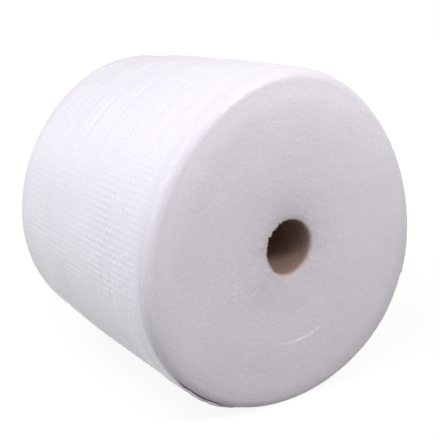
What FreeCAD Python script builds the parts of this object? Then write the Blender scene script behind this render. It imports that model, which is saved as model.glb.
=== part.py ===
import FreeCAD, Part
import math
import os
import Sketcher

# Roll of clear bubble film, wound on a cardboard tube and lying on its side.
#
# Millimetres. X runs along the roll's axis, Y across it and Z up. The origin is in the middle of the
# flat spot that the soft roll rests on. The +X end is the one that is seen.


# Driving dimensions: alias, value and what it is.

SIZES = (
    ("roll_radius", 236, "mean radius of the wound film"),
    ("film_width", 425, "width of the film, which is the roll's length"),
    ("film_turn", 4, "one turn of film as wound, bubbles and all"),
    ("lobe_tightness", 33, "how far the three lobes' radius falls short, and the flatter sides' exceeds"),
    ("top_ease", -9, "added to the radius of the top lobe and of the side facing it"),
    ("low_front_ease", 12, "the same for the low lobe on the side that is seen"),
    ("low_back_ease", -3, "the same for the low lobe at the back"),
    ("rim_rounding", 17, "radius of the soft edge round each end"),
    ("flat_press", 4, "how far the weight presses the bottom flat"),
    ("core_bore", 76, "bore of the cardboard tube"),
    ("core_wall", 5, "wall of the cardboard tube"),
    ("wind_clearance", 0.2, "gap between the tube and the first turn"),
    ("core_inset", 20, "how far the tube's ends stand back from the roll's ends"),
    ("mouth_radius", 82, "outer radius of the hollow round the tube's mouth"),
    ("mouth_depth", 8, "depth of the dished end where that hollow starts"),
    ("dish_radius", 206, "outer radius of the dished part of each end"),
    ("turn_bands", 8, "bands of turns that stand apart on each dished end"),
)

# The section is six arcs of 60 degrees, a little out of round. Three are lobes, in these directions
# in degrees from +Y, and the side facing each lobe is a flatter arc.
LOBES = {90: "top_ease", 210: "low_front_ease", 330: "low_back_ease"}

# The film's loose end lies here, and the turn below it shows from there down to the flat spot.
TAIL_ANGLE = 345
BELOW_ANGLE = 308
BOTTOM_ANGLE = 270

# How far a cutting solid or sketch stands clear of what it cuts.
CLEAR = 20


def make_sheet(doc):
    sheet = doc.addObject("Spreadsheet::Sheet", "Sizes")
    for row, (alias, value, meaning) in enumerate(SIZES, start=1):
        sheet.set(f"A{row}", alias)
        sheet.set(f"B{row}", str(value))
        sheet.set(f"C{row}", meaning)
        sheet.setAlias(f"B{row}", alias)
    doc.recompute()
    return sheet


def origin_feature(body, role):
    for feature in body.Origin.OriginFeatures:
        if feature.Role == role:
            return feature
    raise RuntimeError(f"{body.Name} has no {role}")


def new_sketch(body, name, plane):
    sketch = body.newObject("Sketcher::SketchObject", name)
    sketch.AttachmentSupport = [(origin_feature(body, plane), "")]
    sketch.MapMode = "FlatFace"
    return sketch


def bind(sketch, kind, places, guess, expression):
    """Add one dimension to a sketch and tie it to an expression."""
    index = sketch.addConstraint(Sketcher.Constraint(kind, *places, guess))
    sketch.setExpression(f"Constraints[{index}]", expression)


def value_of(sheet, expression):
    return float(sheet.evalExpression(expression))


def toward(reach, degrees):
    """A step across the section in a direction, as two expressions."""
    return f"{reach} * cos({degrees} deg)", f"{reach} * sin({degrees} deg)"


def add_up(steps):
    return " + ".join(f"({across})" for across, up in steps), " + ".join(f"({up})" for across, up in steps)


def outline_arc(middle):
    """Centre and radius of the arc whose middle faces this way, as expressions.

    The arcs meet smoothly, and the roll's axis is the mean of their centres."""
    lobe = middle if middle in LOBES else (middle + 180) % 360
    side = 1 if middle == lobe else -1
    ease = f"Sizes.{LOBES[lobe]}"
    after = f"Sizes.{LOBES[(lobe + 120) % 360]}"
    before = f"Sizes.{LOBES[(lobe + 240) % 360]}"
    centre = add_up((
        toward("2 / sqrt(3) * Sizes.lobe_tightness", lobe),
        toward(f"{side / 2} * ({ease} - {after})", lobe + 150),
        toward(f"{side / 2} * ({before} - {ease})", lobe + 30),
        toward(f"{side / 2} * ({after} - {before})", lobe + 90),
    ))
    radius = f"(Sizes.roll_radius - {side} * Sizes.lobe_tightness + {ease})"
    return centre, radius


def outline_place(degrees, depth="0"):
    """The place on the section that faces this way, or a depth below it."""
    middle = int(degrees // 60) * 60 + 30
    centre, radius = outline_arc(middle)
    return add_up((centre, toward(f"({radius} - {depth})", degrees)))


def place_now(sheet, place):
    return FreeCAD.Vector(value_of(sheet, place[0]), value_of(sheet, place[1]), 0)


def pin_place(sketch, sheet, geometry, point, place):
    now = place_now(sheet, place)
    bind(sketch, "DistanceX", (-1, 1, geometry, point), now.x, place[0])
    bind(sketch, "DistanceY", (-1, 1, geometry, point), now.y, place[1])


def outline_sketch(body, sheet):
    """The roll's section across its axis."""
    sketch = new_sketch(body, "Outline", "YZ_Plane")
    arcs = []
    for joint in range(0, 360, 60):
        ends = (outline_place(joint), outline_place(joint + 30), outline_place((joint + 60) % 360))
        start, crown, end = (place_now(sheet, place) for place in ends)
        arcs.append(sketch.addGeometry(Part.Arc(start, crown, end), False))
    for index, arc in enumerate(arcs):
        joint = index * 60
        radius = outline_arc(joint + 30)[1]
        sketch.addConstraint(Sketcher.Constraint("Coincident", arcs[index - 1], 2, arc, 1))
        pin_place(sketch, sheet, arc, 1, outline_place(joint))
        bind(sketch, "Radius", (arc,), value_of(sheet, radius), radius)
    return sketch


def cut_through(body, name, sketch):
    """Cut a sketch on the roll's middle plane out of its whole length."""
    pocket = body.newObject("PartDesign::Pocket", name)
    pocket.Profile = sketch
    pocket.SideType = "Symmetric"
    pocket.setExpression("Length", f"Sizes.film_width + {2 * CLEAR}")
    return pocket


def is_round_the_roll(edge):
    return edge.BoundBox.XLength < 0.1


def chamfer_edges(body, name, base, numbers, share):
    """Bevel edges by a share of the rim's rounding."""
    bevel = body.newObject("PartDesign::Chamfer", name)
    bevel.Base = (base, [f"Edge{number}" for number in numbers])
    bevel.ChamferType = "Equal distance"
    bevel.setExpression("Size", f"Sizes.rim_rounding * {share:.5f}")
    body.Document.recompute()
    return bevel


def wound_film(body, sheet):
    """The wound film as a plain block with a soft edge round both ends.

    The soft edge is three flats that touch its rounding, 22.5 degrees apart."""
    sketch = outline_sketch(body, sheet)
    pad = body.newObject("PartDesign::Pad", "Width")
    pad.Profile = sketch
    pad.SideType = "Symmetric"
    pad.setExpression("Length", "Sizes.film_width")
    body.Document.recompute()
    rims = [number for number, edge in enumerate(pad.Shape.Edges, start=1) if is_round_the_roll(edge)]
    first = chamfer_edges(body, "RimBevel", pad, rims, 2 - math.sqrt(2))
    rims = [number for number, edge in enumerate(first.Shape.Edges, start=1) if is_round_the_roll(edge)]
    eighth = math.tan(math.radians(22.5)) - math.tan(math.radians(11.25))
    return chamfer_edges(body, "SoftRims", first, rims, eighth)


def tail_step(body, sheet):
    """The step at the film's loose end, down to the turn below it."""
    outside = f"-{2 * CLEAR}"
    corners = (
        outline_place(BOTTOM_ANGLE, "Sizes.film_turn * 0.2"),
        outline_place(BOTTOM_ANGLE, outside),
        outline_place(BELOW_ANGLE, f"{outside} * 2"),
        outline_place(TAIL_ANGLE, outside),
        outline_place(TAIL_ANGLE, "Sizes.film_turn"),
    )
    below = outline_place(BELOW_ANGLE, "Sizes.film_turn * 0.6")
    sketch = new_sketch(body, "TailProfile", "YZ_Plane")
    places = [place_now(sheet, corner) for corner in corners]
    sides = []
    for start, end in zip(places, places[1:]):
        sides.append(sketch.addGeometry(Part.LineSegment(start, end), False))
    arc = sketch.addGeometry(Part.Arc(places[0], place_now(sheet, below), places[-1]), False)
    on_arc = sketch.addGeometry(Part.Point(place_now(sheet, below)), True)
    sketch.addConstraint(Sketcher.Constraint("PointOnObject", on_arc, 1, arc))
    sketch.addConstraint(Sketcher.Constraint("Coincident", arc, 1, sides[0], 1))
    for side, after in zip(sides, sides[1:]):
        sketch.addConstraint(Sketcher.Constraint("Coincident", side, 2, after, 1))
    sketch.addConstraint(Sketcher.Constraint("Coincident", sides[-1], 2, arc, 2))
    for side, corner in zip(sides, corners):
        pin_place(sketch, sheet, side, 1, corner)
    pin_place(sketch, sheet, sides[-1], 2, corners[-1])
    pin_place(sketch, sheet, on_arc, 1, below)
    return cut_through(body, "TailStep", sketch)


def closed_outline(sketch, sheet, corners):
    """A closed outline of straight sides between places."""
    places = [place_now(sheet, corner) for corner in corners]
    sides = []
    for start, end in zip(places, places[1:] + places[:1]):
        sides.append(sketch.addGeometry(Part.LineSegment(start, end), False))
    for side, after, corner in zip(sides, sides[1:] + sides[:1], corners):
        sketch.addConstraint(Sketcher.Constraint("Coincident", side, 2, after, 1))
        pin_place(sketch, sheet, side, 1, corner)


def dished_end(body, sheet):
    """The dish of the +X end, its bands of turns and the hollow round the tube's mouth."""
    face = "Sizes.film_width / 2"
    tube = "(Sizes.core_bore / 2 + Sizes.core_wall)"
    bands = round(value_of(sheet, "Sizes.turn_bands"))
    corners = [
        (f"{face} - Sizes.core_inset", tube),
        (f"{face} - Sizes.core_inset", "0"),
        (f"{face} + {CLEAR}", "0"),
        (f"{face} + {CLEAR}", "Sizes.dish_radius"),
    ]
    for band in range(1, bands + 1):
        reach = f"Sizes.dish_radius + {band - 1} / {bands} * (Sizes.mouth_radius - Sizes.dish_radius)"
        above = f"{face} - {band - 1} / {bands} * Sizes.mouth_depth"
        below = f"{face} - {band} / {bands} * Sizes.mouth_depth"
        if band > 1:
            corners.append((above, reach))
        corners.append((below, reach))
    corners.append((f"{face} - Sizes.mouth_depth", "Sizes.mouth_radius"))
    half_depth = "(Sizes.mouth_depth + (Sizes.core_inset - Sizes.mouth_depth) / 4)"
    corners.append((f"{face} - {half_depth}", f"({tube} + Sizes.mouth_radius) / 2"))
    sketch = new_sketch(body, "DishProfile", "XZ_Plane")
    closed_outline(sketch, sheet, corners)
    groove = body.newObject("PartDesign::Groove", "DishedEnd")
    groove.Profile = sketch
    groove.ReferenceAxis = (origin_feature(body, "X_Axis"), [""])
    groove.Angle = 360
    return groove


def other_end(body, features):
    """The same dish and turns at the -X end."""
    mirrored = body.newObject("PartDesign::Mirrored", "OtherEnd")
    mirrored.Originals = features
    mirrored.MirrorPlane = (origin_feature(body, "YZ_Plane"), [""])
    body.Tip = mirrored
    return mirrored


def film_bore(body, sheet):
    """The hole through the film, one clearance wider than the tube."""
    sketch = new_sketch(body, "BoreProfile", "YZ_Plane")
    round_section(sketch, sheet, "Sizes.core_bore / 2 + Sizes.core_wall + Sizes.wind_clearance")
    return cut_through(body, "FilmBore", sketch)


def floor_height():
    """The height of the flat spot from the roll's axis, as an expression."""
    return outline_place(BOTTOM_ANGLE, "Sizes.flat_press")[1]


def flat_spot(body, sheet):
    """The flat spot that the soft roll rests on."""
    sketch = new_sketch(body, "FlatProfile", "YZ_Plane")
    below = f"{floor_height()} - {2 * CLEAR}"
    corners = (
        ("-Sizes.roll_radius", floor_height()),
        ("-Sizes.roll_radius", below),
        ("Sizes.roll_radius", below),
        ("Sizes.roll_radius", floor_height()),
    )
    closed_outline(sketch, sheet, corners)
    return cut_through(body, "FlatSpot", sketch)


def round_section(sketch, sheet, radius):
    """A circle round the roll's axis."""
    now = value_of(sheet, radius)
    circle = Part.Circle(FreeCAD.Vector(0, 0, 0), FreeCAD.Vector(0, 0, 1), now)
    ring = sketch.addGeometry(circle, False)
    sketch.addConstraint(Sketcher.Constraint("Coincident", ring, 3, -1, 1))
    bind(sketch, "Radius", (ring,), now, radius)


def make_film_roll(doc, sheet):
    """The film, all its turns as one solid."""
    body = doc.addObject("PartDesign::Body", "FilmRoll")
    body.Label = "film_roll"
    wound_film(body, sheet)
    tail_step(body, sheet)
    other_end(body, [dished_end(body, sheet)])
    film_bore(body, sheet)
    flat_spot(body, sheet)
    return body


def make_core(doc, sheet):
    """The tube that the film is wound on, cut square at both ends."""
    body = doc.addObject("PartDesign::Body", "CardboardCore")
    body.Label = "cardboard_core"
    sketch = new_sketch(body, "TubeSection", "YZ_Plane")
    round_section(sketch, sheet, "Sizes.core_bore / 2")
    round_section(sketch, sheet, "Sizes.core_bore / 2 + Sizes.core_wall")
    tube = body.newObject("PartDesign::Pad", "Tube")
    tube.Profile = sketch
    tube.SideType = "Symmetric"
    tube.setExpression("Length", "Sizes.film_width - 2 * Sizes.core_inset")
    return body


def check_and_write(doc, bodies):
    doc.recompute()
    for item in doc.Objects:
        if "Invalid" in item.State or "Error" in item.State:
            raise RuntimeError(f"{item.Name} failed: {item.State}")
    for body in bodies:
        if body.Shape.isNull() or not body.Shape.isValid() or len(body.Shape.Solids) != 1:
            raise RuntimeError(f"{body.Label} is not one sound solid")
    os.makedirs("parts", exist_ok=True)
    for body in bodies:
        body.Shape.exportStep(f"parts/{body.Label}.step")
        print(body.Label, round(body.Shape.Volume), "mm3")


def main():
    doc = FreeCAD.newDocument("BubbleFilmRoll")
    sheet = make_sheet(doc)
    bodies = [make_film_roll(doc, sheet), make_core(doc, sheet)]
    for body in bodies:
        body.setExpression(".Placement.Base.z", f"-({floor_height()})")
    check_and_write(doc, bodies)


main()
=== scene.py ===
"""Looks of a bubble film roll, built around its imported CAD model.

The roll's axis runs along X and its seen end looks towards +X. Directions round the roll are in degrees
from +Y, its back, towards +Z. Lengths are in metres.
"""

import math

import bpy
import numpy as np
from bpy.props import FloatProperty, FloatVectorProperty, IntProperty, PointerProperty
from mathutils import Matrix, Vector


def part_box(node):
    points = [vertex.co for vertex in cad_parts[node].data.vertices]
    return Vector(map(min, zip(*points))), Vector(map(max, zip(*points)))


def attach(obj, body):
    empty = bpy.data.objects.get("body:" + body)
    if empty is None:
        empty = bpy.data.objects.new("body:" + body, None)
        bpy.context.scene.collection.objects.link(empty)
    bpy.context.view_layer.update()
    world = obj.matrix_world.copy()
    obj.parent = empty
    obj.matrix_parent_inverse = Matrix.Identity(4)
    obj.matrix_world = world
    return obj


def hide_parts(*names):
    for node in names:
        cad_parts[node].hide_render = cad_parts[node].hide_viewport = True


bl_info = {
    "name": "Bubble film roll",
    "version": (1, 0, 0),
    "blender": (4, 5, 0),
    "location": "3D View > Sidebar > Film Roll",
    "description": "Builds the film, bubbles, wound ends, cardboard tube and studio of a bubble film roll",
    "category": "Object",
}

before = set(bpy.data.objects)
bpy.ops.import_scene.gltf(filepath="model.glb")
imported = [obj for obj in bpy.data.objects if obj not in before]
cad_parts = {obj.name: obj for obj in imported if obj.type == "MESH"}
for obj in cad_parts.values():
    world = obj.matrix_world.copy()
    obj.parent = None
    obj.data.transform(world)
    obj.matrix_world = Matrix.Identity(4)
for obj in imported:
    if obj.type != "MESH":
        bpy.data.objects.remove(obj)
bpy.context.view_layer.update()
CORE_LOW, CORE_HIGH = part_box("cardboard_core")
HALF_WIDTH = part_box("film_roll")[1].x
CORE_END = CORE_HIGH.x
CORE_RADIUS = (CORE_HIGH.z - CORE_LOW.z) / 2
AXIS_HEIGHT = (CORE_HIGH.z + CORE_LOW.z) / 2

BODY = "root"

# The roll's section and where the outer turn starts and ends
ARC_SPAN = 60
TAIL_DEGREES = 345
STEP_START_DEGREES = 251
UNDER_TAIL_DEGREES = 20
UNDER_TAIL_ROWS = 4
SECTION_SAMPLES = 4001

# The outer turn of film, which stands off the block and hangs deeper where it has come loose
SAMPLES_PER_BUBBLE = 5
FILM_THICKNESS = 0.0005
FILM_INSET = 0.0006
EDGE_REACH = 0.0095
EDGE_RAGGED = 0.12
HEM_WIDTH = 0.006
SHOULDER_START = 0.022
SHOULDER_END = 0.001
FRILL_HEIGHT = 0.00012
TAIL_LIFT = 0.0007
TAIL_LIFT_DEGREES = 3.5
LOOSE_FROM_X = 0.12
LOOSE_STAND = 0.0010
LOOSE_LIP = 0.0026
CRINKLE_SIDEWAYS = 0.0004
CRINKLE_OUTWARDS = 0.0003

# How much stronger the ripples are in the tension stretch, how many patches they lean for each degree, the
# shares of ripples and bubbles smoothed away on the shoulders and in the taut stretch, how much single
# bubbles differ, and the share of the streaks that shows everywhere
TENSION_GAIN = 0.9
RIPPLE_LEAN = 0.02
RIPPLE_SMOOTHED_SHOULDER = 0.75
BUBBLE_SMOOTHED_SHOULDER = 0.7
BUBBLE_SMOOTHED_TAUT = 0.5
BUBBLE_DIFFERENCE = 0.45
STREAK_EVERYWHERE = 0.35

# The wound ends: each stands END_CROWN past its rim, and has half the columns inside COARSE_SHARE of it
END_CROWN = 0.0021
CROWN_SHARE = 0.2
CROWN_TURN = 0.92
FIRST_BEND = 0.30
RIM_ROWS = 15
RIM_TURNS = 4.2
ROWS_PER_TURN = 4
END_COLUMNS = 576
COARSE_SHARE = 0.38
UNDER_FILM = 0.0009
TUCK_END = 0.62
TUCK_START_LOOSE = 0.28
TUCK_END_LOOSE = 0.2
DISH_RADIUS = 0.088
PROUD_LIP = 0.0014
CREST_HEIGHT = 0.00004
CELL_HEIGHT = 0.00010
CELL_SIZE = 0.0031
GRAIN_HEIGHT = 0.00010
PUCKER_HEIGHT = 0.0004
LEDGE_HEIGHT = 0.0010
LEDGE_INNER = (0.1345, 0.1385)
LEDGE_OUTER = (0.145, 0.185)

# The torn film over the tube's end, and the least gaps to the tube and the floor
BOARD_COVER = 0.006
BOARD_GAP = 0.0006
MOUTH_LAP = 0.0047
TEAR_DEPTH = 0.0070
TOOTH_LENGTH = 0.0016
NOTCH_DEPTH = 0.0040
LIP_RINGS = ((0.45, 0.10), (0.85, 0.30), (1.0, 0.60), (1.0, 0.97))
LEAST_GAP = 0.0002
FLOOR_GAP = 0.0003

# Stretches round the roll in degrees: start, end, and the ramp inside each. The loose one is counted on
# from the tail, past 360.
LOOSE_STRETCH = (215 + 360, STEP_START_DEGREES + 360, 12)
TENSION_STRETCH = (60, 185, 35)
TAUT_STRETCH = (112, 198, 40)
PROUD_STRETCH = (95, 275, 60)
LEDGE_STRETCH = (256, 302, 22)
RAGGED_STRETCH = (85, 236, 35)

# Stretches along the roll over which the tension ripples and the taut film fade out
TENSION_FADE = (-0.06, 0.12)
TAUT_FADE = (-0.10, 0.08)

# Layers of noise: strength, width of a patch, its span in degrees, patches before it comes round, and seed.
# Widths are in metres, and in turns of film for "each turn". An endless width leaves a layer that changes
# only with the direction round the roll.
NOISES = {
    "ripple": (1.0, 0.017, 18, 40, 11),
    "fine ripple": (0.7, 0.007, 26, 40, 12),
    "wave": (2.2, 0.08, 45, 40, 13),
    "crinkle": (1.0, 0.006, 1.8, 200, 14),
    "slack": (0.0005, 0.02, 6, 60, 15),
    "tail": (0.0008, 0.03, 360, 1, 16),
    "bubble patches": (0.5, 0.03, 9, 40, 17),
    "frill": (1.0, 0.0028, 0.9, 400, 18),
    "crumple": (0.00006, 0.0022, 0.6, 600, 19),
    "streak": (0.6, 0.0034, 40, 40, 22),
    "wander": (0.5, 0.02, 12, 30, 0),
    "each turn": (0.00005, 1, 6, 60, 1),
    "pucker": (1.0, 0.018, 8, 45, 4),
    "slow swell": (0.0006, 0.05, 30, 12, 5),
    "wide tear": (0.5, math.inf, 5, 72, 6),
    "narrow tear": (1.0, math.inf, 2.5, 144, 7),
    "ledge": (0.5, math.inf, 5, 72, 8),
}
NOISE_ROWS = 257

# The bubbles under the tail
DOME_SEGMENTS = 16
DOME_RINGS = ((1.0, -0.06), (0.95, 0.5), (0.70, 0.87))

# The studio: each lamp's name, place, target, size, power and colour, then the world's light and the camera
LAMPS = (
    ("key lamp", (0.18, -1.10, 1.30), (0.05, 0.0, 0.22), (1.8, 1.5), 14.8, (0.965, 0.985, 0.995)),
    ("front lamp", (0.06, -1.60, 0.45), (-0.05, 0.0, 0.20), (1.0, 0.8), 4.2, (0.965, 0.98, 1.0)),
    ("sheen lamp", (-1.45, -1.10, 1.15), (0.05, 0.0, 0.28), (1.4, 1.4), 3.6, (1.0, 1.0, 1.0)),
    ("end lamp", (0.90, 0.14, 1.00), (0.15, 0.0, 0.30), (0.3, 0.3), 5.5, (1.0, 0.98, 0.965)),
    ("face lamp", (1.35, -0.20, 0.95), (0.20, 0.0, 0.26), (0.8, 0.8), 1.45, (1.0, 0.985, 0.975)),
)
WORLD_COLOUR = (1.0, 0.985, 0.99)
WORLD_STRENGTH = 0.24
WHITE = (1.0, 1.0, 1.0)
FLOOR_REACH = 14.0
CAMERA_PLACE = (0.9692, -0.6424, 0.5355)
CAMERA_TARGET = (0.0311, 0, 0.2319)
CAMERA_LENS = 62.2
SENSOR_WIDTH = 36


class RollSizes(bpy.types.PropertyGroup):
    """Sizes of the wound film."""

    roll_radius: FloatProperty(
        name="Roll radius",
        description="Middle radius of the wound roll",
        default=0.236,
        min=0.1,
        max=0.6,
        unit="LENGTH",
    )
    lobe_tightness: FloatProperty(
        name="Lobe tightness",
        description="How much smaller than the roll's radius the three tight arcs of its section are",
        default=0.033,
        min=0,
        max=0.08,
        unit="LENGTH",
    )
    lobe_ease: FloatVectorProperty(
        name="Lobe ease",
        description="Change of radius of the top lobe, the low front lobe and the low back lobe",
        default=(-0.009, 0.012, -0.003),
        size=3,
        unit="LENGTH",
    )
    turn_thickness: FloatProperty(
        name="Turn thickness",
        description="Thickness of one turn of film, bubbles and all",
        default=0.004,
        min=0.001,
        max=0.02,
        unit="LENGTH",
    )
    bubble_height: FloatProperty(
        name="Bubble height",
        description="Height of a bubble, which points in towards the turn below",
        default=0.0031,
        min=0.001,
        max=0.02,
        unit="LENGTH",
    )
    bubble_relief: FloatProperty(
        name="Bubble relief",
        description="How far the outer film stands out over a bubble, from the creases between the bubbles",
        default=0.0008,
        min=0,
        max=0.005,
        unit="LENGTH",
    )
    bubble_radius: FloatProperty(
        name="Bubble radius",
        description="Radius of a bubble where it stands on the film",
        default=0.0048,
        min=0.001,
        max=0.02,
        unit="LENGTH",
    )
    bubble_pitch: FloatProperty(
        name="Bubble pitch",
        description="Distance from bubble to bubble along a row",
        default=0.0103,
        min=0.003,
        max=0.04,
        unit="LENGTH",
    )
    row_count: IntProperty(
        name="Rows of bubbles",
        description="Rows of bubbles in one turn of film round the roll",
        default=166,
        min=12,
        max=600,
    )
    rim_rounding: FloatProperty(
        name="Rim rounding",
        description="Radius of the soft rounding round each end",
        default=0.017,
        min=0.002,
        max=0.05,
        unit="LENGTH",
    )
    side_bulge: FloatProperty(
        name="Side bulge",
        description="How far the middle of the side stands out from its ends",
        default=0.0025,
        min=0,
        max=0.01,
        unit="LENGTH",
    )
    ripple_height: FloatProperty(
        name="Ripple height",
        description="Height of the tension ripples that run round the outer turn",
        default=0.0005,
        min=0,
        max=0.005,
        unit="LENGTH",
    )


class RollColours(bpy.types.PropertyGroup):
    """Colours of the film, the cardboard and the studio."""

    film_pale: FloatVectorProperty(
        name="Film, pale",
        description="Colour of the film where it is frosted white",
        default=(0.895, 0.85, 0.935),
        size=3,
        min=0,
        max=1,
        subtype="COLOR",
    )
    film_shade: FloatVectorProperty(
        name="Film, shaded",
        description="Colour of the film where the turns below show through it",
        default=(0.775, 0.73, 0.81),
        size=3,
        min=0,
        max=1,
        subtype="COLOR",
    )
    # Painted shade: the film darkens towards the rims to stand in for the shade of the rounded rim
    film_rim_painted_shade: FloatVectorProperty(
        name="Film, at the rims",
        description="Colour of the outer film where it nears the rims",
        default=(0.735, 0.69, 0.765),
        size=3,
        min=0,
        max=1,
        subtype="COLOR",
    )
    # Painted shade: a grey that stands in for the shade on the loose flap's edge
    film_lip_painted_shade: FloatVectorProperty(
        name="Film, cut edge",
        description="Colour of the outer film's cut edge at the loose lip",
        default=(0.55, 0.515, 0.55),
        size=3,
        min=0,
        max=1,
        subtype="COLOR",
    )
    # Painted glints: small white specks that stand in for the film's sparkling reflections
    painted_glint: FloatVectorProperty(
        name="Bright specks",
        description="Colour of the bright specks in the film",
        default=(0.98, 0.98, 0.99),
        size=3,
        min=0,
        max=1,
        subtype="COLOR",
    )
    # Painted shade: the turns' edges darken next to the rim, matching the painted shade on the film's rim
    end_rim_painted_shade: FloatVectorProperty(
        name="Ends, at the rim",
        description="Colour of the turns' edges next to the rim",
        default=(0.745, 0.70, 0.765),
        size=3,
        min=0,
        max=1,
        subtype="COLOR",
    )
    # Painted shade: the turns' edges darken in the dish round the tube, where the recess is in shade
    end_dish_painted_shade: FloatVectorProperty(
        name="Ends, in the dish",
        description="Colour of the turns' edges in the dish round the tube",
        default=(0.60, 0.55, 0.58),
        size=3,
        min=0,
        max=1,
        subtype="COLOR",
    )
    end_lip: FloatVectorProperty(
        name="Ends, torn lip",
        description="Colour of the torn film over the tube's end",
        default=(0.42, 0.33, 0.30),
        size=3,
        min=0,
        max=1,
        subtype="COLOR",
    )
    board: FloatVectorProperty(
        name="Cardboard",
        description="Colour of the tube's plain board",
        default=(0.40, 0.275, 0.225),
        size=3,
        min=0,
        max=1,
        subtype="COLOR",
    )
    board_dark: FloatVectorProperty(
        name="Cardboard, dark",
        description="Colour of the board's fibres, seams and glue lines",
        default=(0.20, 0.125, 0.10),
        size=3,
        min=0,
        max=1,
        subtype="COLOR",
    )
    board_end: FloatVectorProperty(
        name="Cardboard, cut",
        description="Colour of the tube's cut ends between the glue lines",
        default=(0.68, 0.53, 0.47),
        size=3,
        min=0,
        max=1,
        subtype="COLOR",
    )
    floor: FloatVectorProperty(
        name="Floor",
        description="Colour of the studio floor, under the white that only the camera and mirrors see",
        default=(0.15, 0.15, 0.15),
        size=3,
        min=0,
        max=1,
        subtype="COLOR",
    )


# Noise and shapes


def even_noise(across, along, wrap, seed):
    """Smooth noise from -1 to 1 that changes over one unit and comes round again after wrap units along."""
    grid = np.random.default_rng(seed).uniform(-1, 1, (NOISE_ROWS, wrap))
    across, along = np.broadcast_arrays(across, along)
    row, column = np.floor(across).astype(int), np.floor(along).astype(int)
    part_row, part_column = across - row, along - column
    part_row = part_row * part_row * (3 - 2 * part_row)
    part_column = part_column * part_column * (3 - 2 * part_column)
    low, high = row % NOISE_ROWS, (row + 1) % NOISE_ROWS
    first, second = column % wrap, (column + 1) % wrap
    below = grid[low, first] * (1 - part_column) + grid[low, second] * part_column
    above = grid[high, first] * (1 - part_column) + grid[high, second] * part_column
    return below * (1 - part_row) + above * part_row


def layer(name, across, degrees, lean=0.0, seed=0):
    """A layer of noise at distances across and degrees round the roll. Lean is in patches for each degree."""
    strength, width, span, wrap, own_seed = NOISES[name]
    return strength * even_noise(across / width + degrees * lean, degrees / span, wrap, seed + own_seed)


def eased(value, start, end):
    """0 at start and before it, 1 at end and after it, and smooth between them."""
    share = np.clip((value - start) / (end - start), 0, 1)
    return share * share * (3 - 2 * share)


def window(value, start, end, ramp):
    """1 between start and end, 0 outside them, with a smooth ramp inside each."""
    return eased(value, start, start + ramp) * (1 - eased(value, end - ramp, end))


def section_arcs(sizes):
    """Radii and centres of the six arcs that make the roll's section, starting at the one at 30 degrees."""
    ease = dict(zip((90, 210, 330), sizes.lobe_ease))
    radii = []
    for middle in range(ARC_SPAN // 2, 360, ARC_SPAN):
        if middle in ease:
            radii.append(sizes.roll_radius - sizes.lobe_tightness + ease[middle])
        else:
            radii.append(sizes.roll_radius + sizes.lobe_tightness + ease[(middle + 180) % 360])
    centres = [np.zeros(2)]
    for k in range(len(radii) - 1):
        joint = math.radians(ARC_SPAN * (k + 1))
        toward = np.array([math.cos(joint), math.sin(joint)])
        centres.append(centres[-1] + (radii[k] - radii[k + 1]) * toward)
    centres = np.array(centres)
    return np.array(radii), centres - centres.mean(0)


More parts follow.
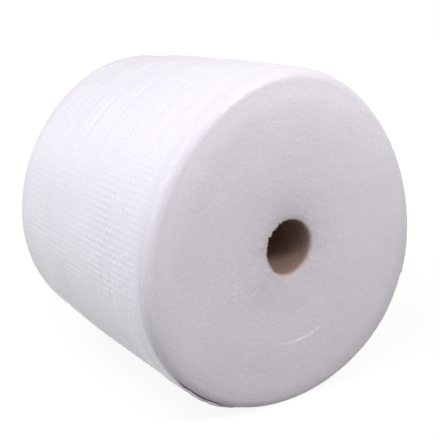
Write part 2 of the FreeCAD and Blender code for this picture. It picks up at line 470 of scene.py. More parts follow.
class WoundFilm:
    """The roll's section, and where each row of bubbles lies round it."""

    def __init__(self, sizes):
        self.sizes = sizes
        self.flat = HALF_WIDTH - END_CROWN - sizes.rim_rounding
        self.radii, self.centres = section_arcs(sizes)
        end_degrees = TAIL_DEGREES + 360 + UNDER_TAIL_DEGREES
        self.degrees = np.linspace(TAIL_DEGREES, end_degrees, SECTION_SAMPLES)
        y, z = self.section_point(self.degrees, 0)
        length = np.concatenate([[0], np.cumsum(np.hypot(np.diff(y), np.diff(z)))])
        self.rows = length / np.interp(TAIL_DEGREES + 360, self.degrees, length) * sizes.row_count

    def section_point(self, degrees, inset):
        """Y and Z of the section where it faces these degrees, moved in by inset."""
        which = np.floor(degrees % 360 / ARC_SPAN).astype(int) % len(self.radii)
        angle = np.radians(degrees)
        reach = self.radii[which] - inset
        y = self.centres[which, 0] + reach * np.cos(angle)
        z = self.centres[which, 1] + reach * np.sin(angle) + AXIS_HEIGHT
        return y, z

    def step(self, degrees):
        """How far the film lies below the outer outline, for degrees counted on from the tail."""
        start = STEP_START_DEGREES + 360
        end = TAIL_DEGREES + 360
        return self.sizes.turn_thickness * np.maximum(degrees - start, 0) / (end - start)

    def loosened(self, degrees, along):
        """1 where the outer turn has come loose from the block at the low front edge, and 0 elsewhere."""
        return window(degrees, *LOOSE_STRETCH) * eased(along, LOOSE_FROM_X, self.flat)

    def bubble_pattern(self, rows, along):
        """1 over the middle of each bubble and 0 in the creases between them."""
        across = along / self.sizes.bubble_pitch
        waves = sum(np.cos(math.tau * wave) for wave in (rows, across - rows / 2, across + rows / 2))
        # The three waves add up to 3 over a bubble and to -1.5 in a crease
        return ((waves + 1.5) / 4.5) ** 0.7

    def ripples(self, degrees, along, taut, shoulder):
        """Height of the ripples, long waves and fine streaks that run round the outer turn."""
        ripple = layer("ripple", along, degrees, lean=RIPPLE_LEAN) + layer("fine ripple", along, degrees)
        tight = TENSION_GAIN * window(degrees % 360, *TENSION_STRETCH)
        tension = 1 + tight * (1 - eased(along, *TENSION_FADE))
        streak = layer("streak", along, degrees) * (STREAK_EVERYWHERE + taut)
        height = ripple * tension + layer("wave", along, degrees) + streak
        return self.sizes.ripple_height * height * (1 - RIPPLE_SMOOTHED_SHOULDER * shoulder)

    def bubble_strength(self, rows, degrees, along, taut, shoulder):
        """How strongly the bubbles show through the outer film, patch by patch and one by one."""
        smoothed = (1 - BUBBLE_SMOOTHED_SHOULDER * shoulder) * (1 - BUBBLE_SMOOTHED_TAUT * taut)
        strength = smoothed * (1 + layer("bubble patches", along, degrees % 360))
        # These patches are about as large as one bubble
        single = even_noise(along / 0.0101, rows * 0.97, 180, 23)
        return strength * (1 + BUBBLE_DIFFERENCE * single)

    def outer_film(self, rows, along):
        """Points of the outer turn's film, for rows counted from the tail and distances along its width."""
        sizes = self.sizes
        degrees = np.interp(rows, self.rows, self.degrees)
        around = degrees % 360
        beyond = np.maximum(np.abs(along) - self.flat, 0)
        loose = self.loosened(degrees, along)
        bend_radius = sizes.rim_rounding - FILM_INSET
        bend = beyond / bend_radius * (1 - loose)
        reach = np.minimum(np.abs(along), self.flat) + bend_radius * np.sin(bend)
        x = np.sign(along) * reach + beyond * loose
        inset = FILM_INSET + bend_radius * (1 - np.cos(bend)) + self.step(degrees)
        inset = inset - sizes.side_bulge * np.clip(1 - (x / self.flat) ** 2, 0, 1)

        shoulder = eased(np.abs(along), self.flat - SHOULDER_START, self.flat - SHOULDER_END)
        taut = window(around, *TAUT_STRETCH) * (1 - eased(along, *TAUT_FADE))
        inset = inset - self.ripples(degrees, along, taut, shoulder)
        strength = self.bubble_strength(rows, degrees, along, taut, shoulder)
        inset = inset - sizes.bubble_relief * strength * self.bubble_pattern(rows, along)
        frill = FRILL_HEIGHT * shoulder * layer("frill", along, around)
        inset = inset - frill - layer("crumple", along, around)

        crinkle = layer("crinkle", along, around)
        x = x + loose * (LOOSE_STAND + CRINKLE_SIDEWAYS * crinkle)
        inset = inset - loose * (LOOSE_STAND + CRINKLE_OUTWARDS * crinkle + layer("slack", along, around))

        tail = 1 - eased(degrees, TAIL_DEGREES, TAIL_DEGREES + TAIL_LIFT_DEGREES)
        inset = inset - tail * (TAIL_LIFT + layer("tail", along, around))
        y, z = self.section_point(degrees, inset)
        return np.stack([x, y, raised(z, FLOOR_GAP)], axis=-1)


def lowered(points, depth):
    """Points moved in towards the roll's axis."""
    moved = points.copy()
    reach = np.hypot(points[..., 1], points[..., 2] - AXIS_HEIGHT)
    moved[..., 1] -= points[..., 1] / reach * depth
    moved[..., 2] -= (points[..., 2] - AXIS_HEIGHT) / reach * depth
    return moved


def raised(height, least, run=0.0004):
    """Heights pressed up to at least that height, with a short smooth run into the flat."""
    over = height - least
    return least + (over + np.sqrt(over * over + run**2)) / 2


def grid_faces(rows, columns):
    """Quads of a grid of points, counted row by row."""
    first = (np.arange(rows - 1)[:, None] * columns + np.arange(columns - 1)).ravel()
    return np.stack([first, first + columns, first + columns + 1, first + 1], axis=1)


def new_piece(name, points, faces, material):
    """A smooth-shaded mesh that rides on the roll's body."""
    mesh = bpy.data.meshes.new(name)
    mesh.from_pydata(points.reshape(-1, 3).tolist(), [], [f for group in faces for f in group.tolist()])
    if mesh.validate():
        raise RuntimeError(f"the mesh of {name} had faces that don't hold together")
    mesh.shade_smooth()
    mesh.materials.append(material)
    piece = bpy.data.objects.new(name, mesh)
    bpy.context.scene.collection.objects.link(piece)
    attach(piece, BODY)
    return piece


# Shader nodes


def add_node(tree, kind, inputs=None, **settings):
    """A node with its settings, and its inputs given as values or as sockets that feed them."""
    node = tree.nodes.new(kind)
    for name, value in settings.items():
        setattr(node, name, value)
    for name, value in (inputs or {}).items():
        if isinstance(value, bpy.types.NodeSocket):
            tree.links.new(value, node.inputs[name])
        else:
            node.inputs[name].default_value = value
    return node


def maths(tree, operation, first, second=0.0, clamp=False):
    """The output of a Math node."""
    node = add_node(tree, "ShaderNodeMath", {0: first, 1: second}, operation=operation, use_clamp=clamp)
    return node.outputs[0]


def remap(tree, value, low, high, to_low=0.0, to_high=1.0):
    """A value's range mapped to another and held inside it."""
    inputs = {"Value": value, "From Min": low, "From Max": high, "To Min": to_low, "To Max": to_high}
    return add_node(tree, "ShaderNodeMapRange", inputs, clamp=True).outputs["Result"]


def mix_colours(tree, share, first, second):
    """A colour between two others."""
    return add_node(tree, "ShaderNodeMix", {0: share, 6: first, 7: second}, data_type="RGBA").outputs[2]


def noise(tree, vector, scale, detail=2.0, roughness=0.5):
    """A noise value from 0 to 1 over these coordinates."""
    inputs = {"Vector": vector, "Scale": scale, "Detail": detail, "Roughness": roughness}
    return add_node(tree, "ShaderNodeTexNoise", inputs).outputs["Fac"]


def opaque(colour):
    """A colour with full alpha."""
    return (*colour, 1.0)


def new_group(name, inputs, outputs):
    """An empty shader node group with those float inputs and their defaults, and those float outputs."""
    tree = bpy.data.node_groups.new(name, "ShaderNodeTree")
    for label, default in inputs.items():
        socket = tree.interface.new_socket(label, in_out="INPUT", socket_type="NodeSocketFloat")
        socket.default_value = default
    for label in outputs:
        tree.interface.new_socket(label, in_out="OUTPUT", socket_type="NodeSocketFloat")
    return tree, tree.nodes.new("NodeGroupInput"), tree.nodes.new("NodeGroupOutput")


def frost_group():
    """Frosting of the film: a mottle from 0 to 1, bright specks that are painted glints, and a fine height.
    """
    name = "Film frost"
    if name in bpy.data.node_groups:
        return bpy.data.node_groups[name]
    inputs = {"Fine Scale": 300.0, "Coarse Scale": 14.0, "Speck Scale": 150.0, "Speck Size": 0.1}
    tree, given, out = new_group(name, inputs, ["Mottle", "Painted Glints", "Height"])
    place = add_node(tree, "ShaderNodeTexCoord").outputs["Object"]
    fine = noise(tree, place, given.outputs["Fine Scale"], 3.0, 0.6)
    coarse = noise(tree, place, given.outputs["Coarse Scale"], 3.0, 0.55)
    blend = maths(tree, "ADD", maths(tree, "MULTIPLY", fine, 0.6), maths(tree, "MULTIPLY", coarse, 0.4))
    # The specks are painted glints: small white spots that paint the film's sparkle into its colour
    cells = add_node(
        tree, "ShaderNodeTexVoronoi", {"Vector": place, "Scale": given.outputs["Speck Scale"]}, feature="F1"
    )
    reach = maths(tree, "MULTIPLY", given.outputs["Speck Size"], 2.0)
    near = remap(tree, cells.outputs["Distance"], given.outputs["Speck Size"], reach, 1.0, 0.0)
    patch = remap(tree, noise(tree, place, 9.0, 2.0), 0.50, 0.66)
    tree.links.new(remap(tree, blend, 0.27, 0.70), out.inputs["Mottle"])
    tree.links.new(maths(tree, "MULTIPLY", near, patch), out.inputs["Painted Glints"])
    tree.links.new(fine, out.inputs["Height"])
    return tree


def axis_group():
    """Place round the roll's axis: the distance from it, the share of a turn, and the distance along it."""
    name = "Round the axis"
    if name in bpy.data.node_groups:
        return bpy.data.node_groups[name]
    tree, given, out = new_group(name, {"Axis Height": AXIS_HEIGHT}, ["Radius", "Turn", "Along"])
    place = add_node(tree, "ShaderNodeTexCoord").outputs["Object"]
    parts = add_node(tree, "ShaderNodeSeparateXYZ", {0: place}).outputs
    up = maths(tree, "SUBTRACT", parts["Z"], given.outputs["Axis Height"])
    up_square = maths(tree, "MULTIPLY", up, up)
    square = maths(tree, "ADD", up_square, maths(tree, "MULTIPLY", parts["Y"], parts["Y"]))
    turn = maths(tree, "DIVIDE", maths(tree, "ARCTAN2", up, parts["Y"]), math.tau)
    tree.links.new(maths(tree, "SQRT", square), out.inputs["Radius"])
    tree.links.new(turn, out.inputs["Turn"])
    tree.links.new(parts["X"], out.inputs["Along"])
    return tree


def new_material(name, constants):
    """A material whose shader has those plain values on its own sockets."""
    material = bpy.data.materials.new(name)
    material.use_nodes = True
    shader = material.node_tree.nodes["Principled BSDF"]
    for label, value in constants.items():
        shader.inputs[label].default_value = value
    return material, material.node_tree, shader


def place_group(tree, group, inputs):
    """The outputs of a group that is placed in a tree with its own values."""
    node = tree.nodes.new("ShaderNodeGroup")
    node.node_tree = group
    for name, value in inputs.items():
        node.inputs[name].default_value = value
    return node.outputs


def bumped(tree, shader, height, distance, strength=1.0):
    """Feeds a height into the shader's normal."""
    bump = add_node(tree, "ShaderNodeBump", {"Height": height, "Distance": distance, "Strength": strength})
    tree.links.new(bump.outputs["Normal"], shader.inputs["Normal"])


def film_material(colours):
    """Clear film over white turns: pale, glossy, a little mottled, with fine tension lines round the roll.
    Its bright specks are painted glints, and it has painted shade towards the rims and on the loose lip's
    edge.
    """
    if "bubble film" in bpy.data.materials:
        return bpy.data.materials["bubble film"]
    constants = {"IOR": 1.5, "Coat Weight": 0.35, "Coat Roughness": 0.16}
    material, tree, shader = new_material("bubble film", constants)
    frost = place_group(
        tree,
        frost_group(),
        {"Fine Scale": 260.0, "Coarse Scale": 11.0, "Speck Scale": 120.0, "Speck Size": 0.14},
    )
    axis = place_group(tree, axis_group(), {})
    lines_place = add_node(
        tree,
        "ShaderNodeCombineXYZ",
        {0: maths(tree, "MULTIPLY", axis["Along"], 210.0), 1: maths(tree, "MULTIPLY", axis["Turn"], 14.0)},
    ).outputs[0]
    lines = noise(tree, lines_place, 1.0, 2.0)
    mottle = maths(tree, "MULTIPLY", frost["Mottle"], 0.65)
    tint = maths(tree, "ADD", mottle, maths(tree, "MULTIPLY", lines, 0.35))
    base = mix_colours(tree, tint, opaque(colours.film_shade), opaque(colours.film_pale))
    # Painted glints: white specks mixed into the film's colour
    base = mix_colours(tree, frost["Painted Glints"], base, opaque(colours.painted_glint))
    from_middle = maths(tree, "ABSOLUTE", axis["Along"])
    # Painted shade towards the rims, where the film turns away over the rounded rim
    rim = remap(tree, from_middle, HALF_WIDTH - 0.034, HALF_WIDTH - 0.012, 0.0, 0.75)
    base = mix_colours(tree, rim, base, opaque(colours.film_rim_painted_shade))
    # Painted shade on the loose lip's edge, which hangs in the flap's own shade
    cut = remap(tree, axis["Along"], HALF_WIDTH - 0.0080, HALF_WIDTH - 0.0068, 0.0, 0.9)
    base = mix_colours(tree, cut, base, opaque(colours.film_lip_painted_shade))
    tree.links.new(base, shader.inputs["Base Color"])
    tree.links.new(remap(tree, frost["Mottle"], 0, 1, 0.26, 0.42), shader.inputs["Roughness"])
    height = maths(tree, "ADD", frost["Height"], maths(tree, "MULTIPLY", lines, 1.5))
    bumped(tree, shader, height, 0.0005, 0.5)
    return material


def wound_material(colours, turn_thickness):
    """Edges of many turns of film: frosted, granular, with faint turn lines and bright specks that are
    painted glints. Painted light pales the turns towards the rim and darkens the middle, and painted shade
    darkens the rim and the dish round the tube.
    """
    if "wound film edges" in bpy.data.materials:
        return bpy.data.materials["wound film edges"]
    constants = {
        "IOR": 1.5,
        "Coat Weight": 0.12,
        "Coat Roughness": 0.2,
        "Subsurface Weight": 0.3,
        "Subsurface Radius": (0.012, 0.012, 0.014),
        "Subsurface Scale": 0.5,
    }
    material, tree, shader = new_material("wound film edges", constants)
    frost = place_group(
        tree,
        frost_group(),
        {"Fine Scale": 420.0, "Coarse Scale": 16.0, "Speck Scale": 140.0, "Speck Size": 0.12},
    )
    axis = place_group(tree, axis_group(), {})
    place = add_node(tree, "ShaderNodeTexCoord").outputs["Object"]
    wander = maths(tree, "MULTIPLY", noise(tree, place, 45.0, 2.0), 1.6)
    turns = maths(tree, "DIVIDE", axis["Radius"], turn_thickness)
    turns = maths(tree, "ADD", maths(tree, "SUBTRACT", turns, axis["Turn"]), wander)
    share = maths(tree, "FRACT", turns)
    gap = maths(tree, "ABSOLUTE", maths(tree, "SUBTRACT", share, 0.5))
    line = remap(tree, gap, 0.3, 0.5)
    # Painted light and shade: the turns are paler towards the rim and darker towards the dished middle
    painted_light_by_radius = remap(tree, axis["Radius"], 0.09, 0.215, -0.15, 0.30)
    tint = maths(tree, "ADD", maths(tree, "MULTIPLY", frost["Mottle"], 0.7), painted_light_by_radius)
    tint = maths(tree, "SUBTRACT", tint, maths(tree, "MULTIPLY", line, 0.18), True)
    base = mix_colours(tree, tint, opaque(colours.film_shade), opaque(colours.film_pale))
    # Painted shade next to the rim, where the end turns round into the side
    rim = remap(tree, axis["Radius"], 0.205, 0.228, 0.0, 0.6)
    base = mix_colours(tree, rim, base, opaque(colours.end_rim_painted_shade))
    # Painted shade in the dish round the tube, wide and darker still right next to the tube's mouth
    painted_dish_shade = remap(tree, axis["Radius"], CORE_RADIUS, CORE_RADIUS + 0.055, 0.35, 0.0)
    near_core = remap(tree, axis["Radius"], CORE_RADIUS, CORE_RADIUS + 0.014, 0.25, 0.0)
    base = mix_colours(tree, maths(tree, "ADD", painted_dish_shade, near_core, True), base, opaque(colours.end_dish_painted_shade))
    lip = remap(tree, axis["Radius"], CORE_RADIUS - 0.0042, CORE_RADIUS - 0.0002, 0.95, 0.0)
    base = mix_colours(tree, lip, base, opaque(colours.end_lip))
    # Painted glints: white specks mixed into the ends' colour
    base = mix_colours(tree, frost["Painted Glints"], base, opaque(colours.painted_glint))
    tree.links.new(base, shader.inputs["Base Color"])
    tree.links.new(remap(tree, frost["Mottle"], 0, 1, 0.5, 0.34), shader.inputs["Roughness"])
    cells = add_node(tree, "ShaderNodeTexVoronoi", {"Vector": place, "Scale": 230.0}).outputs["Distance"]
    height = maths(tree, "ADD", frost["Height"], maths(tree, "MULTIPLY", cells, 0.8))
    bumped(tree, shader, height, 0.0010, 0.26)
    return material


def board_material(colours):
    """Spiral-wound board: brown paper with fibres, a seam that winds along it, and plies on its ends."""
    material, tree, shader = new_material("spiral-wound board", {"IOR": 1.45, "Specular IOR Level": 0.25})
    axis = place_group(tree, axis_group(), {})
    place = add_node(tree, "ShaderNodeTexCoord").outputs["Object"]
    winding = maths(tree, "SUBTRACT", maths(tree, "DIVIDE", axis["Along"], 0.115), axis["Turn"])
    seam = maths(tree, "ABSOLUTE", maths(tree, "SUBTRACT", maths(tree, "FRACT", winding), 0.5))
    seam = remap(tree, seam, 0.484, 0.498)
    fibre_place = add_node(
        tree,
        "ShaderNodeCombineXYZ",
        {0: maths(tree, "MULTIPLY", winding, 60.0), 1: maths(tree, "MULTIPLY", axis["Along"], 60.0)},
    ).outputs[0]
    fibres = noise(tree, fibre_place, 1.0, 4.0, 0.65)
    flecks = noise(tree, place, 900.0, 2.0, 0.6)
    plies = maths(tree, "FRACT", maths(tree, "DIVIDE", axis["Radius"], 0.00065))
    end_face = remap(tree, maths(tree, "ABSOLUTE", axis["Along"]), CORE_END - 0.0004, CORE_END - 0.0001)
    ply_line = maths(tree, "MULTIPLY", remap(tree, plies, 0.72, 0.95), end_face)
    dark = maths(tree, "ADD", remap(tree, fibres, 0.35, 0.75, 0.0, 0.55), maths(tree, "MULTIPLY", seam, 0.9))
    dark = maths(tree, "ADD", dark, maths(tree, "MULTIPLY", ply_line, 0.5), True)
    base = mix_colours(tree, dark, opaque(colours.board), opaque(colours.board_dark))
    base = mix_colours(tree, maths(tree, "MULTIPLY", end_face, 0.6), base, opaque(colours.board_end))
    tree.links.new(base, shader.inputs["Base Color"])
    tree.links.new(remap(tree, flecks, 0.3, 0.7, 0.72, 0.92), shader.inputs["Roughness"])
    height = maths(tree, "ADD", maths(tree, "MULTIPLY", fibres, 0.5), maths(tree, "MULTIPLY", flecks, 0.5))
    height = maths(tree, "SUBTRACT", height, maths(tree, "ADD", seam, ply_line))
    bumped(tree, shader, height, 0.0004, 0.7)
    return material


# Pieces


def build_outer_turn(sizes, colours):
    """The outermost turn of film, from its tail round the roll and back in under the tail."""
    wound = WoundFilm(sizes)
    step = sizes.bubble_pitch / SAMPLES_PER_BUBBLE
    count = int((wound.flat + EDGE_REACH) / step)
    across = np.arange(-count, count + 1) * step
    halfway = sizes.row_count // 2
    spans = (("outer_turn_top", 0, halfway), ("outer_turn_front", halfway, sizes.row_count + UNDER_TAIL_ROWS))
    for name, start, end in spans:
        rows = np.arange(start * SAMPLES_PER_BUBBLE, end * SAMPLES_PER_BUBBLE + 1) / SAMPLES_PER_BUBBLE + 0.5
        grid_rows, along = np.meshgrid(rows, across, indexing="ij")
        beyond = np.maximum(np.abs(along) - wound.flat, 0)
        ragged = 1 + EDGE_RAGGED * even_noise(along * 0, grid_rows / 1.3, 128, 21)
        along = np.sign(along) * (np.minimum(np.abs(along), wound.flat) + beyond * ragged)
        points = wound.outer_film(grid_rows, along)
        if start == 0:
            points = np.concatenate([lowered(points[:1], FILM_THICKNESS), points])
            grid_rows = np.concatenate([grid_rows[:1], grid_rows])
        degrees = np.interp(grid_rows[:, -1:], wound.rows, wound.degrees)
        depth = FILM_THICKNESS + LOOSE_LIP * wound.loosened(degrees, np.full(degrees.shape, wound.flat))
        seen_lip = lowered(points[:, -1:], depth)
        behind = seen_lip - [HEM_WIDTH, 0, 0]
        far_lip = lowered(points[:, :1], FILM_THICKNESS)
        points = np.concatenate([far_lip, points, seen_lip, behind], axis=1)
        piece = new_piece(name, points, [grid_faces(*points.shape[:2])], film_material(colours))
        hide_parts("film_roll")


def dome_template(segments):
    """One bubble as rings of (across, round, up) shares with a point on top, and its quads and triangles."""
    angles = np.arange(segments) * math.tau / segments
    points = [(r * math.cos(a), r * math.sin(a), h) for r, h in DOME_RINGS for a in angles] + [(0, 0, 1)]
    column = np.arange(segments)
    following = (column + 1) % segments
    quads = np.concatenate(
        [
            np.stack([column, following, following + segments, column + segments], axis=1) + k * segments
            for k in range(len(DOME_RINGS) - 1)
        ]
    )
    last = (len(DOME_RINGS) - 1) * segments
    tops = np.stack([column + last, following + last, np.full(segments, len(points) - 1)], axis=1)
    return np.array(points), quads, tops


def build_bubbles(sizes, colours):
    """The bubbles that show from the side, under the tail of the outer turn."""
    wound = WoundFilm(sizes)
    rng = np.random.default_rng(5)
    half_count = int((wound.flat + 0.003) / sizes.bubble_pitch)
    places = np.arange(-half_count, half_count) * sizes.bubble_pitch
    rows, along = [], []
    for row in range(1, UNDER_TAIL_ROWS):
        shifted = places + (0.5 * (row % 2)) * sizes.bubble_pitch
        rows.append(np.full(len(shifted), float(row)))
        along.append(shifted)
    rows, along = np.concatenate(rows), np.concatenate(along)

    middle = wound.outer_film(rows, along)
    ahead = wound.outer_film(rows, along + 0.002) - wound.outer_film(rows, along - 0.002)
    onward = wound.outer_film(rows + 0.3, along) - wound.outer_film(rows - 0.3, along)
    ahead /= np.linalg.norm(ahead, axis=1)[:, None]
    inward = np.cross(ahead, onward)
    inward /= np.linalg.norm(inward, axis=1)[:, None]
    onward = np.cross(inward, ahead)
    middle = middle + inward * (sizes.bubble_relief + FILM_THICKNESS)

    radius = sizes.bubble_radius * rng.uniform(0.96, 1.03, len(along))
    height = sizes.bubble_height * rng.uniform(0.85, 0.98, len(along))
    shape, quads, tops = dome_template(DOME_SEGMENTS)
    scaled = shape[None] * np.stack([radius, radius * 0.97, height], axis=1)[:, None, :]
    frames = np.stack([ahead, onward, inward], axis=1)
    points = middle[:, None, :] + scaled @ frames
    points[:, :, 2] = np.maximum(points[:, :, 2], LEAST_GAP)
    offsets = (np.arange(len(points)) * len(shape))[:, None, None]
    faces = [(quads[None] + offsets).reshape(-1, 4), (tops[None] + offsets).reshape(-1, 3)]
    new_piece("edge_bubbles", points, faces, film_material(colours))


def end_depth(radius, around):
    """How far the end lies in from its outer plane, by distance from the axis and direction round it."""
    stations = (CORE_RADIUS, 0.047, 0.053, 0.062, 0.076, 0.100, 0.130, 0.170, 0.206, 0.219)
    depths = (0.0125, 0.0115, 0.0105, 0.0095, 0.0082, 0.0064, 0.0042, 0.0018, 0.0, 0.0)
    proud = window(around, *PROUD_STRETCH) * (1 - eased(radius, CORE_RADIUS, DISH_RADIUS))
    return np.interp(radius, stations, depths) - PROUD_LIP * proud


def end_rows(sizes):
    """How far each row has turned round the rim, its share of the way out from the core, and the turns."""
    bends = np.linspace(FIRST_BEND, math.pi / 2, RIM_ROWS)
    turns = int(round((sizes.roll_radius - sizes.rim_rounding - CORE_RADIUS) / sizes.turn_thickness))
    shares = np.linspace(1, 0, turns * ROWS_PER_TURN + 1)[1:]
    bends = np.concatenate([bends, np.full(len(shares), math.pi / 2)])
    return bends, np.concatenate([np.ones(RIM_ROWS), shares]), turns


def end_relief(y, z, around, bends, shares, turns, seed):
    """Height of the turns' edges, the puckers round the core and the small ledge on an end of the roll."""
    radius = np.hypot(y, z - AXIS_HEIGHT)
    phase = shares * turns + (1 - bends / (math.pi / 2)) * RIM_TURNS - around / 360
    phase = phase + layer("wander", radius, around, seed=seed)
    # Less about its mean, so that the crests don't move the end as a whole
    crest = np.abs(np.sin(math.pi * phase)) - 0.6
    cell = even_noise((y + 0.3) / CELL_SIZE, (z + 0.1) / CELL_SIZE, NOISE_ROWS, seed + 2)
    grain = np.random.default_rng(seed + 3).uniform(-1, 1, radius.shape)
    relief = CREST_HEIGHT * crest + layer("each turn", np.floor(phase), around, seed=seed)
    relief = relief + CELL_HEIGHT * cell + GRAIN_HEIGHT * grain
    near_core = 1 - eased(radius, CORE_RADIUS + 0.004, DISH_RADIUS)
    pucker = layer("pucker", radius, around, seed=seed) * near_core
    ledge = window(around, *LEDGE_STRETCH) * eased(radius, *LEDGE_INNER) * (1 - eased(radius, *LEDGE_OUTER))
    ledge = ledge * (0.8 + layer("ledge", radius, around, seed=seed))
    swell = layer("slow swell", radius, around, seed=seed)
    return relief + PUCKER_HEIGHT * pucker + LEDGE_HEIGHT * ledge + swell


def end_points(wound, side, bends, shares, turns, degrees, seed):
    """Points on an end of the roll, where the edges of its turns show, as rows from the rim to the core."""
    sizes = wound.sizes
    bends, shares, degrees = bends[:, None], shares[:, None], degrees[None, :]
    around = degrees % 360
    counted = np.where(around < TAIL_DEGREES, around + 360, around)
    loose = wound.loosened(counted, np.full(counted.shape, wound.flat)) if side > 0 else counted * 0
    under = FILM_INSET + UNDER_FILM + UNDER_FILM * loose
    tuck_start, tuck_end = FIRST_BEND + TUCK_START_LOOSE * loose, TUCK_END + TUCK_END_LOOSE * loose
    swell = sizes.rim_rounding - under * (1 - eased(bends, tuck_start, tuck_end))
    turned = bends * CROWN_TURN
    inset = sizes.rim_rounding - (swell - wound.step(counted)) * np.cos(turned)
    section_y, section_z = wound.section_point(degrees, inset)
    angle = np.radians(degrees)
    core_y = (CORE_RADIUS + LEAST_GAP) * np.cos(angle)
    core_z = (CORE_RADIUS + LEAST_GAP) * np.sin(angle) + AXIS_HEIGHT
    y = core_y + (section_y - core_y) * shares
    z = core_z + (section_z - core_z) * shares
    radius = np.hypot(y, z - AXIS_HEIGHT)
    crown = END_CROWN * (1 - np.clip((shares - 1 + CROWN_SHARE) / CROWN_SHARE, 0, 1) ** 2)
    x = wound.flat + swell * np.sin(turned) + crown - end_depth(radius, around) * (shares < 1)

    relief = end_relief(y, z, around, bends, shares, turns, seed)
    x = x + relief * np.sin(bends)
    out = relief * np.cos(bends)
    y, z = y + out * np.cos(angle), z + out * np.sin(angle)

    x = np.where(radius < CORE_RADIUS + BOARD_COVER, np.maximum(x, CORE_END + BOARD_GAP), x)
    return np.stack([side * x, y, np.maximum(z, FLOOR_GAP)], axis=-1)


def lip_points(side, degrees, first_ring, seed):
    """Rings that carry the last turn of film in over the tube's end and down on to it."""
    around = degrees % 360
    angle = np.radians(degrees)
    torn = layer("wide tear", around, around, seed=seed) + layer("narrow tear", around, around, seed=seed)
    notch = np.clip(TEAR_DEPTH * torn * window(around, *RAGGED_STRETCH), -TOOTH_LENGTH, NOTCH_DEPTH)
    least = CORE_RADIUS - MOUTH_LAP + notch
    start = np.hypot(first_ring[:, 1], first_ring[:, 2] - AXIS_HEIGHT)
    height = np.abs(first_ring[:, 0]) - CORE_END
    rings = []
    for inward, drop in LIP_RINGS:
        radius = start + (least - start) * inward
        x = side * (CORE_END + height * (1 - drop) + LEAST_GAP)
        y, z = radius * np.cos(angle), radius * np.sin(angle) + AXIS_HEIGHT
        rings.append(np.stack([x, y, z], axis=-1))
    return np.stack(rings)


def ring_faces(rows, count, start):
    """Quads of closed rings of points, counted ring by ring from a first point."""
    column = np.arange(count)
    corner = start + np.arange(rows - 1)[:, None] * count
    following = (column + 1) % count
    ring = [corner + column, corner + following, corner + count + following, corner + count + column]
    return np.stack([r.ravel() for r in ring], axis=1)


def build_end(sizes, colours, name, side, seed):
    """One wound end: fine columns round its outer part and half as many further in."""
    wound = WoundFilm(sizes)
    bends, shares, turns = end_rows(sizes)
    change = int(np.argmax(shares < COARSE_SHARE))
    wide = TAIL_DEGREES + np.arange(END_COLUMNS) * 360 / END_COLUMNS
    outer = end_points(wound, side, bends[:change], shares[:change], turns, wide, seed)
    inner = end_points(wound, side, bends[change:], shares[change:], turns, wide[::2], seed)
    inner = np.concatenate([inner, lip_points(side, wide[::2], inner[-1], seed)])
    points = np.concatenate([outer.reshape(-1, 3), inner.reshape(-1, 3)])

    half = END_COLUMNS // 2
    start = len(outer) * END_COLUMNS
    last = start - END_COLUMNS
    k = np.arange(half)
    fine_corners = [last + 2 * k, last + 2 * k + 1, last + (2 * k + 2) % END_COLUMNS]
    joined = np.stack([*fine_corners, start + (k + 1) % half, start + k], axis=1)
    faces = [ring_faces(len(outer), END_COLUMNS, 0), joined, ring_faces(len(inner), half, start)]
    if side < 0:
        faces = [group[:, ::-1] for group in faces]
    piece = new_piece(name, points, faces, wound_material(colours, sizes.turn_thickness))
    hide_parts("film_roll")


# Studio


def new_light(name, location, target, size, power, colour):
    """A soft rectangular lamp that looks at its target."""
    data = bpy.data.lights.new(name, "AREA")
    data.shape = "RECTANGLE"
    data.size, data.size_y = size
    data.energy = power
    data.color = colour
    lamp = bpy.data.objects.new(name, data)
    lamp.visible_camera = False
    lamp.location = location
    lamp.rotation_mode = "QUATERNION"
    lamp.rotation_quaternion = (Vector(target) - Vector(location)).to_track_quat("-Z", "Y")
    bpy.context.scene.collection.objects.link(lamp)


def seen_ray(tree):
    """1 for rays from the camera, and for rays in a mirror or through glass."""
    path = add_node(tree, "ShaderNodeLightPath").outputs
    mirror = maths(tree, "MAXIMUM", path["Is Glossy Ray"], path["Is Transmission Ray"])
    return maths(tree, "MAXIMUM", path["Is Camera Ray"], mirror)


def build_floor(colours):
    """A wide floor that looks white to the camera and in mirrors, and keeps the roll's soft shadow."""
    mesh = bpy.data.meshes.new("floor")
    corners = [(FLOOR_REACH * x, FLOOR_REACH * y, 0) for x, y in ((-1, -1), (1, -1), (1, 1), (-1, 1))]
    mesh.from_pydata(corners, [], [(0, 1, 2, 3)])
    floor = bpy.data.objects.new("floor", mesh)
    bpy.context.scene.collection.objects.link(floor)
    material, tree, shader = new_material("studio floor", {"Roughness": 0.9})
    shader.inputs["Base Color"].default_value = opaque(colours.floor)
    place = add_node(tree, "ShaderNodeTexCoord").outputs["Object"]
    distance = add_node(tree, "ShaderNodeVectorMath", {0: place}, operation="LENGTH").outputs["Value"]
    strength = remap(tree, distance, 0.45, 2.2, 0.87, 1.0)
    glow = add_node(tree, "ShaderNodeEmission", {"Color": opaque(WHITE), "Strength": strength})
    both = add_node(tree, "ShaderNodeAddShader", {0: shader.outputs[0], 1: glow.outputs[0]}).outputs[0]
    pick = add_node(tree, "ShaderNodeMixShader", {0: seen_ray(tree), 1: shader.outputs[0], 2: both})
    tree.links.new(pick.outputs[0], tree.nodes["Material Output"].inputs["Surface"])
    mesh.materials.append(material)


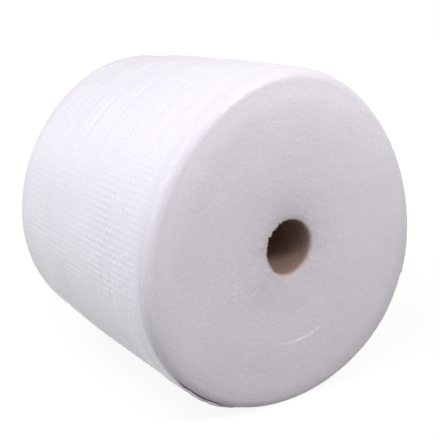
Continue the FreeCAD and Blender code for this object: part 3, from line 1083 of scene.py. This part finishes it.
def build_world():
    """Even light from all round, and a white background where the camera looks past the floor."""
    world = bpy.data.worlds.new("studio")
    bpy.context.scene.world = world
    world.use_nodes = True
    tree = world.node_tree
    light = tree.nodes["Background"]
    light.inputs["Color"].default_value = opaque(WORLD_COLOUR)
    light.inputs["Strength"].default_value = WORLD_STRENGTH
    white = add_node(tree, "ShaderNodeBackground", {"Color": opaque(WHITE), "Strength": 1.0}).outputs[0]
    pick = add_node(tree, "ShaderNodeMixShader", {0: seen_ray(tree), 1: light.outputs[0], 2: white})
    tree.links.new(pick.outputs[0], tree.nodes["World Output"].inputs["Surface"])


def build_camera():
    """The camera where the photograph was taken from: a little above the roll, towards its seen end."""
    data = bpy.data.cameras.new("camera")
    data.sensor_width = SENSOR_WIDTH
    data.lens = CAMERA_LENS
    camera = bpy.data.objects.new("camera", data)
    camera.location = CAMERA_PLACE
    camera.rotation_mode = "QUATERNION"
    aim = Vector(CAMERA_TARGET) - camera.location
    camera.rotation_quaternion = aim.to_track_quat("-Z", "Y")
    bpy.context.scene.collection.objects.link(camera)
    bpy.context.scene.camera = camera


def need_node(name):
    """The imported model's object of that name. Raises an error where there is none."""
    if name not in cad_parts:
        raise RuntimeError(f"the packed model has no node named {name}")
    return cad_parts[name]


class FILMROLL_OT_outer_turn(bpy.types.Operator):
    """Build the outermost turn of film with its tail"""

    bl_idname = "filmroll.outer_turn"
    bl_label = "Outer turn"

    def execute(self, context):
        need_node("film_roll")
        build_outer_turn(context.scene.film_roll_sizes, context.scene.film_roll_colours)
        return {"FINISHED"}


class FILMROLL_OT_bubbles(bpy.types.Operator):
    """Build the bubbles that show under the tail"""

    bl_idname = "filmroll.bubbles"
    bl_label = "Bubbles"

    def execute(self, context):
        build_bubbles(context.scene.film_roll_sizes, context.scene.film_roll_colours)
        return {"FINISHED"}


class FILMROLL_OT_wound_ends(bpy.types.Operator):
    """Build the two wound ends, where the edges of the turns show"""

    bl_idname = "filmroll.wound_ends"
    bl_label = "Wound ends"

    def execute(self, context):
        sizes, colours = context.scene.film_roll_sizes, context.scene.film_roll_colours
        build_end(sizes, colours, "seen_end", 1, 31)
        build_end(sizes, colours, "far_end", -1, 71)
        return {"FINISHED"}


class FILMROLL_OT_cardboard(bpy.types.Operator):
    """Give the cardboard tube its board, seams and plies"""

    bl_idname = "filmroll.cardboard"
    bl_label = "Cardboard tube"

    def execute(self, context):
        core = need_node("cardboard_core")
        material = board_material(context.scene.film_roll_colours)
        if not core.material_slots:
            core.data.materials.append(material)
        for place in core.material_slots:
            place.material = material
        return {"FINISHED"}


class FILMROLL_OT_studio(bpy.types.Operator):
    """Build the floor, the lamps, the background and the camera"""

    bl_idname = "filmroll.studio"
    bl_label = "Studio"

    def execute(self, context):
        context.scene.view_settings.view_transform = "Standard"
        build_floor(context.scene.film_roll_colours)
        build_world()
        for lamp in LAMPS:
            new_light(*lamp)
        build_camera()
        return {"FINISHED"}


class FILMROLL_PT_builder(bpy.types.Panel):
    """Steps that build the film roll, in order."""

    bl_idname = "FILMROLL_PT_builder"
    bl_label = "Bubble film roll"
    bl_space_type = "VIEW_3D"
    bl_region_type = "UI"
    bl_category = "Film Roll"

    def draw(self, context):
        for step in STEPS:
            self.layout.operator(step.bl_idname)
        for group in (context.scene.film_roll_sizes, context.scene.film_roll_colours):
            for name in group.__annotations__:
                self.layout.prop(group, name)


STEPS = (
    FILMROLL_OT_outer_turn,
    FILMROLL_OT_bubbles,
    FILMROLL_OT_wound_ends,
    FILMROLL_OT_cardboard,
    FILMROLL_OT_studio,
)
CLASSES = (RollSizes, RollColours, *STEPS, FILMROLL_PT_builder)


def register():
    for each in CLASSES:
        bpy.utils.register_class(each)
    bpy.types.Scene.film_roll_sizes = PointerProperty(type=RollSizes)
    bpy.types.Scene.film_roll_colours = PointerProperty(type=RollColours)


def unregister():
    del bpy.types.Scene.film_roll_colours
    del bpy.types.Scene.film_roll_sizes
    for each in reversed(CLASSES):
        bpy.utils.unregister_class(each)


def main():
    register()
    bpy.ops.filmroll.outer_turn()
    bpy.ops.filmroll.bubbles()
    bpy.ops.filmroll.wound_ends()
    bpy.ops.filmroll.cardboard()
    bpy.ops.filmroll.studio()


if __name__ == "__main__":
    main()
